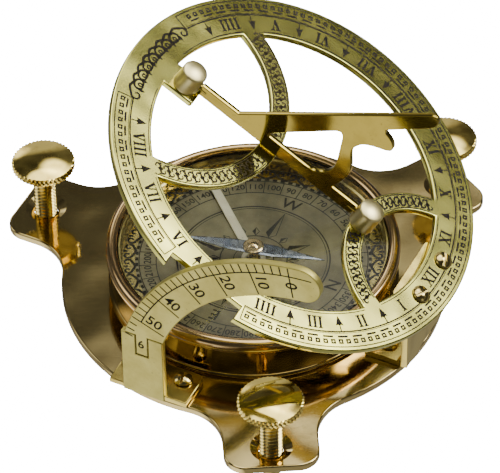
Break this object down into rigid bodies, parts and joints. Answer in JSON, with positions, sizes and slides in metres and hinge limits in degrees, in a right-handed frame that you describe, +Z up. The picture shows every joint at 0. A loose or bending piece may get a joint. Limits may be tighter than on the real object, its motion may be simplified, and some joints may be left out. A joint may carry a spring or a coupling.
{
  "type": "garden sundial",
  "caption": "Brass equatorial garden sundial: tilting hour ring and folding gnomon hinged over a glazed compass, with a latitude arc and levelling screws.",
  "frame": {"origin": "centre of the base plate's flat underside, on the compass axis", "axes": "+Z up along the compass axis, +X towards the hour ring's hinge (the dial's north), -Y towards the latitude arc"},
  "size_m": [0.1358, 0.1356, 0.0901],
  "materials": {
    "polished_brass": "mirror polished",
    "yellow_brass": "polished, lightly brushed",
    "bezel_copper": "polished, reddish",
    "dial_silver": "satin",
    "blued_steel": "blued",
    "clear_glass": "clear"
  },
  "bodies": {
    "base": {"base_plate": "polished_brass", "compass_bowl": "polished_brass", "bezel_ring": "bezel_copper", "dial_plate": "dial_silver", "glass_seat_ring": "yellow_brass", "glass_cover": "clear_glass", "needle_pivot": "polished_brass", "needle_lever": "yellow_brass", "bowl_screw_1": "polished_brass", "bowl_screw_2": "polished_brass", "bowl_screw_3": "polished_brass", "hinge_bracket": "polished_brass", "hinge_pin": "polished_brass", "bracket_screw_1": "polished_brass", "bracket_screw_2": "polished_brass", "arc_bracket": "yellow_brass", "arc_pin": "polished_brass", "foot_screw_1": "yellow_brass", "foot_screw_2": "yellow_brass"},
    "ring": {"hour_ring": "yellow_brass", "ring_hinge_leaf": "polished_brass", "ring_screw_1": "yellow_brass", "ring_screw_2": "yellow_brass", "gnomon_post_1": "polished_brass", "gnomon_post_2": "polished_brass"},
    "gnomon": {"gnomon": "polished_brass"},
    "arc": {"latitude_arc": "yellow_brass"},
    "needle": {"compass_needle": "blued_steel", "needle_cap": "yellow_brass"},
    "levelling_screw_1": {"levelling_stem_1": "polished_brass", "levelling_knob_1": "polished_brass"},
    "levelling_screw_2": {"levelling_stem_2": "polished_brass", "levelling_knob_2": "polished_brass"},
    "levelling_screw_3": {"levelling_stem_3": "polished_brass", "levelling_knob_3": "polished_brass"}
  },
  "joints": [
    {"name": "ring_tilt", "type": "hinge", "parent": "base", "child": "ring", "pos_m": [0.0529, 0, 0.019], "axis": [0, 1, 0], "range_deg": [-12, 38]},
    {"name": "gnomon_fold", "type": "hinge", "parent": "ring", "child": "gnomon", "pos_m": [-0.01837, 0, 0.06915], "axis": [0.866, 0, -0.5], "range_deg": [-90, 90]},
    {"name": "arc_fold", "type": "hinge", "parent": "base", "child": "arc", "pos_m": [0, -0.0535, 0.0214], "axis": [1, 0, 0], "range_deg": [0, 90]},
    {"name": "needle_swing", "type": "hinge", "parent": "base", "child": "needle", "pos_m": [0, 0, 0.0126], "axis": [0, 0, 1], "continuous": true},
    {"name": "levelling_1", "type": "slide", "parent": "base", "child": "levelling_screw_1", "axis": [0, 0, 1], "range_m": [-0.003, 0.003]},
    {"name": "levelling_2", "type": "slide", "parent": "base", "child": "levelling_screw_2", "axis": [0, 0, 1], "range_m": [-0.003, 0.003]},
    {"name": "levelling_3", "type": "slide", "parent": "base", "child": "levelling_screw_3", "axis": [0, 0, 1], "range_m": [-0.003, 0.003]}
  ]
}
